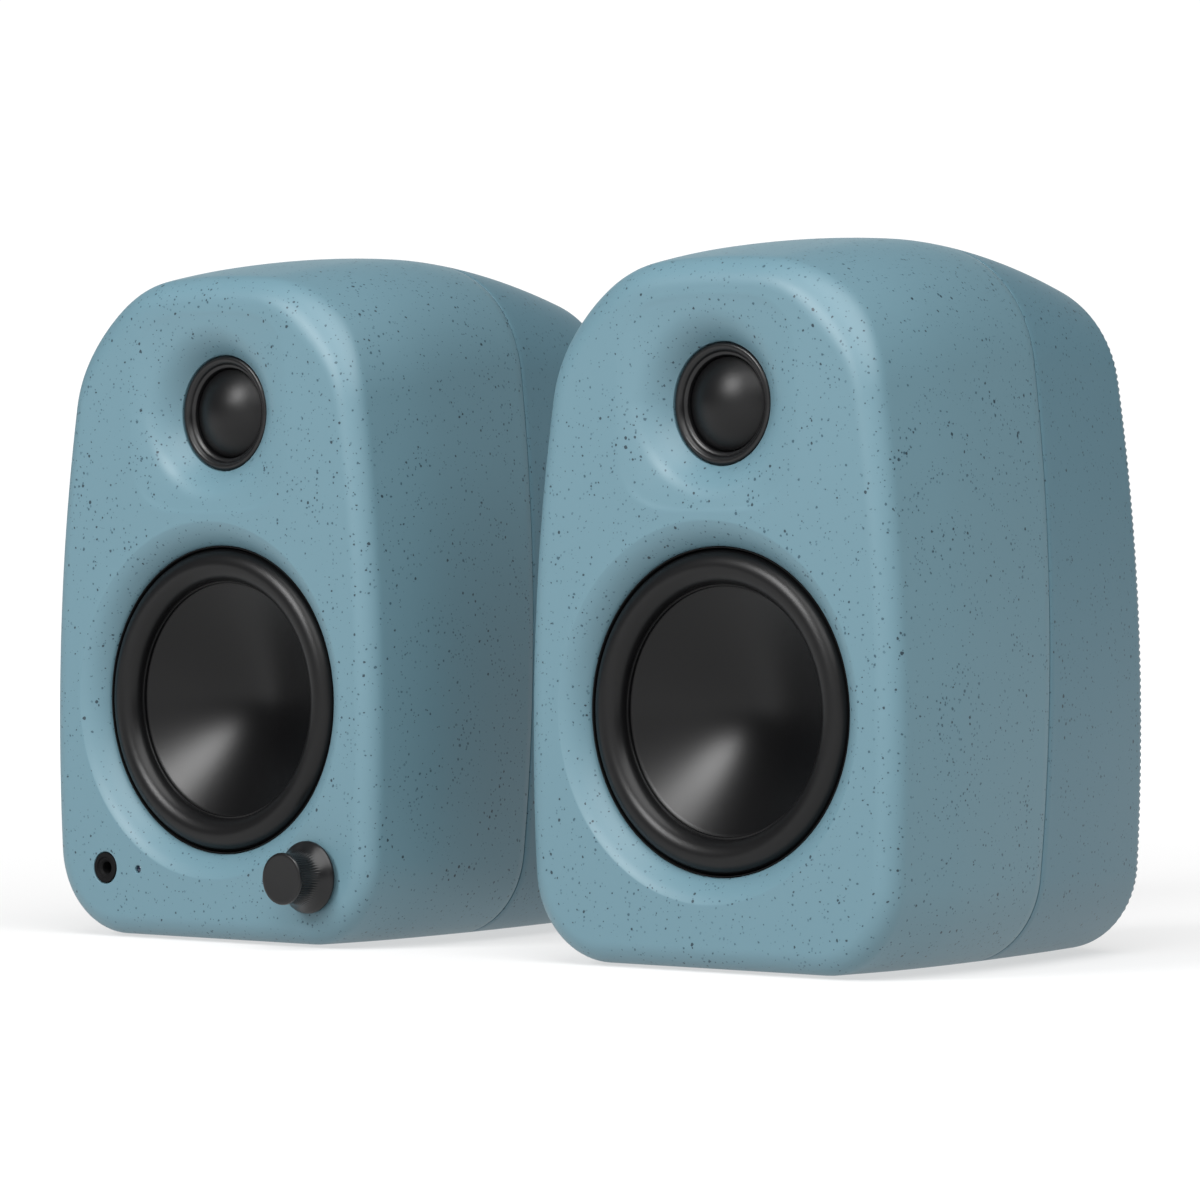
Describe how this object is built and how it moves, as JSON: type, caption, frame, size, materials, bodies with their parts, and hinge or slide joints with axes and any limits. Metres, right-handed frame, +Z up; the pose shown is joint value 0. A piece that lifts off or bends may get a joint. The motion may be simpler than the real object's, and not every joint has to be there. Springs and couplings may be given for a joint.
{
  "type": "desktop speakers",
  "caption": "Powered desktop speaker set with rounded speckled cabinets, cone woofers, dome tweeters, a push-and-turn volume knob and a headphone jack.",
  "frame": {"origin": "on the desk, under the middle of the set's bounding box", "axes": "+Z up, fronts facing -Y, the left (active) speaker at -X and the right (passive) one at +X"},
  "size_m": [0.3226, 0.1668, 0.2048],
  "materials": {
    "shell": "fine matte texture, dark speckles in a muted blue",
    "rubber": "satin",
    "cone": "coated paper, soft sheen",
    "silk": "coated silk",
    "black_plastic": "satin",
    "black_steel": "black powder coat",
    "ferrite": "sintered, matte",
    "copper": "enamelled winding on a brown former",
    "spider": "resin-treated cotton",
    "steel": "satin nickel",
    "board": "solder mask",
    "gold": "plated",
    "lens": "dark polished lens"
  },
  "bodies": {
    "left_speaker": {"left_front_shell": "shell", "left_rear_shell": "shell", "left_shell_gasket": "rubber", "left_front_foot_pad": "rubber", "left_rear_foot_pad": "rubber", "left_case_screw_1": "black_steel", "left_case_screw_2": "black_steel", "left_case_screw_3": "black_steel", "left_case_screw_4": "black_steel", "left_port_tube": "black_plastic", "left_woofer_basket": "black_steel", "left_woofer_surround": "rubber", "left_woofer_spider": "spider", "left_woofer_magnet": "ferrite", "left_tweeter_ring": "black_plastic", "left_tweeter_magnet": "ferrite", "left_back_panel": "black_plastic", "left_link_socket": "black_plastic", "left_volume_encoder": "steel", "left_headphone_jack": "black_plastic", "left_status_light": "lens", "left_usb_socket": "steel", "left_phono_socket_upper": "gold", "left_phono_socket_lower": "gold", "left_power_inlet": "black_plastic", "left_amplifier_board": "board"},
    "left_woofer": {"left_woofer_cone": "cone", "left_woofer_voice_coil": "copper"},
    "left_tweeter": {"left_tweeter_dome": "silk"},
    "volume_plunger": {"left_encoder_plunger": "steel"},
    "volume_dial": {"left_volume_shaft": "steel", "left_volume_knob": "black_plastic"},
    "right_speaker": {"right_front_shell": "shell", "right_rear_shell": "shell", "right_shell_gasket": "rubber", "right_front_foot_pad": "rubber", "right_rear_foot_pad": "rubber", "right_case_screw_1": "black_steel", "right_case_screw_2": "black_steel", "right_case_screw_3": "black_steel", "right_case_screw_4": "black_steel", "right_port_tube": "black_plastic", "right_woofer_basket": "black_steel", "right_woofer_surround": "rubber", "right_woofer_spider": "spider", "right_woofer_magnet": "ferrite", "right_tweeter_ring": "black_plastic", "right_tweeter_magnet": "ferrite", "right_back_panel": "black_plastic", "right_link_socket": "black_plastic", "right_crossover_board": "board"},
    "right_woofer": {"right_woofer_cone": "cone", "right_woofer_voice_coil": "copper"},
    "right_tweeter": {"right_tweeter_dome": "silk"}
  },
  "joints": [
    {"name": "speaker_spacing", "type": "slide", "parent": "left_speaker", "child": "right_speaker", "axis": [1, 0, 0], "range_m": [0, 0.2]},
    {"name": "volume_press", "type": "slide", "parent": "left_speaker", "child": "volume_plunger", "axis": [0, 1, 0], "range_m": [0, 0.0006], "stiffness_N_per_m": 1500},
    {"name": "volume_turn", "type": "hinge", "parent": "volume_plunger", "child": "volume_dial", "pos_m": [-0.05285, -0.0706, 0.021], "axis": [0, -1, 0], "continuous": true},
    {"name": "left_woofer_travel", "type": "slide", "parent": "left_speaker", "child": "left_woofer", "axis": [0, -1, 0], "range_m": [-0.003, 0.003], "stiffness_N_per_m": 900, "deforming": ["left_woofer_surround", "left_woofer_spider"]},
    {"name": "left_tweeter_travel", "type": "slide", "parent": "left_speaker", "child": "left_tweeter", "axis": [0, -1, 0], "range_m": [-0.0003, 0.0003], "stiffness_N_per_m": 300},
    {"name": "right_woofer_travel", "type": "slide", "parent": "right_speaker", "child": "right_woofer", "axis": [0, -1, 0], "range_m": [-0.003, 0.003], "stiffness_N_per_m": 900, "deforming": ["right_woofer_surround", "right_woofer_spider"]},
    {"name": "right_tweeter_travel", "type": "slide", "parent": "right_speaker", "child": "right_tweeter", "axis": [0, -1, 0], "range_m": [-0.0003, 0.0003], "stiffness_N_per_m": 300}
  ]
}
